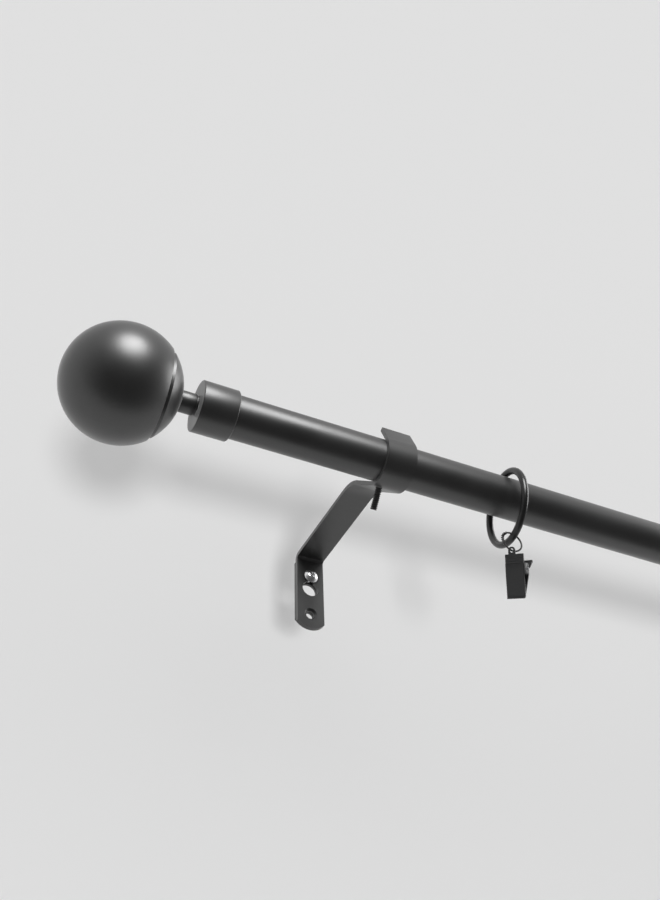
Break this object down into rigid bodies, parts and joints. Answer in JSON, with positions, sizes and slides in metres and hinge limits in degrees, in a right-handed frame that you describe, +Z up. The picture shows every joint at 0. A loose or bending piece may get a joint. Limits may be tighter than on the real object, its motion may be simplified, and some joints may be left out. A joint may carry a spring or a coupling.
{
  "type": "curtain rod with brackets",
  "caption": "Telescoping curtain rod with ball finials on two wall brackets whose hooks cradle it, with a sliding curtain ring and a sprung clip.",
  "frame": {"origin": "on the wall plane, midway between the lower fixing holes of the two brackets", "axes": "+X along the rod to its extending end, +Y into the wall, +Z up"},
  "size_m": [0.871, 0.1512, 0.0983],
  "materials": {
    "satin_black": "satin powder coat",
    "ring_black": "smooth satin paint",
    "clip_black": "semi-gloss paint on thin sheet",
    "black_oxide": "oiled black oxide",
    "zinc_screw": "bright zinc plate",
    "spring_steel": "drawn wire",
    "nylon": "moulded nylon"
  },
  "bodies": {
    "wall_plates": {"left_wall_plate": "satin_black", "right_wall_plate": "satin_black"},
    "left_arm": {"left_arm": "satin_black"},
    "right_arm": {"right_arm": "satin_black"},
    "left_set_screw": {"left_set_screw": "black_oxide"},
    "right_set_screw": {"right_set_screw": "black_oxide"},
    "left_plate_screw": {"left_plate_screw": "zinc_screw"},
    "right_plate_screw": {"right_plate_screw": "zinc_screw"},
    "rod": {"outer_tube": "satin_black", "left_plug": "nylon"},
    "inner_rod": {"inner_tube": "satin_black", "tube_glide": "nylon", "right_plug": "nylon"},
    "left_collar": {"left_collar": "satin_black"},
    "left_finial": {"left_ball_shell": "satin_black", "left_ball_cap": "satin_black", "left_stud": "satin_black"},
    "right_collar": {"right_collar": "satin_black"},
    "right_finial": {"right_ball_shell": "satin_black", "right_ball_cap": "satin_black", "right_stud": "satin_black"},
    "ring": {"curtain_ring": "ring_black"},
    "eyelet": {"clip_eyelet": "black_oxide"},
    "clip": {"clip_front": "clip_black", "clip_pin": "spring_steel"},
    "jaw": {"clip_jaw": "clip_black", "clip_spring": "spring_steel"}
  },
  "joints": [
    {"name": "left_arm_lift", "type": "slide", "parent": "wall_plates", "child": "left_arm", "axis": [0, 0, 1], "range_m": [0, 0.0087]},
    {"name": "right_arm_lift", "type": "slide", "parent": "wall_plates", "child": "right_arm", "axis": [0, 0, 1], "range_m": [0, 0.0087]},
    {"name": "left_plate_screw_out", "type": "slide", "parent": "wall_plates", "child": "left_plate_screw", "axis": [0, -1, 0], "range_m": [-0.0012, 0.0008]},
    {"name": "left_set_screw_out", "type": "slide", "parent": "left_arm", "child": "left_set_screw", "axis": [0, 0.6428, -0.766], "range_m": [0, 0.006]},
    {"name": "right_plate_screw_out", "type": "slide", "parent": "wall_plates", "child": "right_plate_screw", "axis": [0, -1, 0], "range_m": [-0.0012, 0.0008]},
    {"name": "right_set_screw_out", "type": "slide", "parent": "right_arm", "child": "right_set_screw", "axis": [0, 0.6428, -0.766], "range_m": [0, 0.006]},
    {"name": "rod_lift", "type": "slide", "parent": "left_arm", "child": "rod", "axis": [0, 0.5, 0.866], "range_m": [0, 0.04]},
    {"name": "rod_extend", "type": "slide", "parent": "rod", "child": "inner_rod", "axis": [1, 0, 0], "range_m": [0, 0.505]},
    {"name": "left_collar_travel", "type": "slide", "parent": "rod", "child": "left_collar", "axis": [-1, 0, 0], "range_m": [0, 0.01001]},
    {"name": "left_finial_turn", "type": "hinge", "parent": "left_collar", "child": "left_finial", "pos_m": [-0.4023, -0.118, 0.0335], "axis": [-1, 0, 0], "range_deg": [0, 2880]},
    {"name": "right_collar_travel", "type": "slide", "parent": "inner_rod", "child": "right_collar", "axis": [1, 0, 0], "range_m": [0, 0.01001]},
    {"name": "right_finial_turn", "type": "hinge", "parent": "right_collar", "child": "right_finial", "pos_m": [0.4023, -0.118, 0.0335], "axis": [1, 0, 0], "range_deg": [0, 2880]},
    {"name": "ring_slide", "type": "slide", "parent": "rod", "child": "ring", "axis": [1, 0, 0], "range_m": [-0.05, 0.37]},
    {"name": "eyelet_swing", "type": "hinge", "parent": "ring", "child": "eyelet", "pos_m": [-0.1633, -0.118, 0.00325], "axis": [0, 1, 0], "range_deg": [-50, 50]},
    {"name": "clip_swing", "type": "hinge", "parent": "eyelet", "child": "clip", "pos_m": [-0.16523, -0.118, -0.00666], "axis": [0.9816, 0, -0.1908], "range_deg": [-70, 25]},
    {"name": "jaw_open", "type": "hinge", "parent": "clip", "child": "jaw", "pos_m": [-0.15884, -0.11294, -0.01467], "axis": [0.4383, -0.8243, -0.3584], "range_deg": [0, 25], "stiffness_Nm_per_rad": 0.02, "springref_deg": -57.3}
  ],
  "couplings": [
    {"joint": "right_arm_lift", "follows": "left_arm_lift", "ratio": 1},
    {"joint": "left_collar_travel", "follows": "left_finial_turn", "m_per_rad": 0.00019894},
    {"joint": "right_collar_travel", "follows": "right_finial_turn", "m_per_rad": 0.00019894}
  ]
}
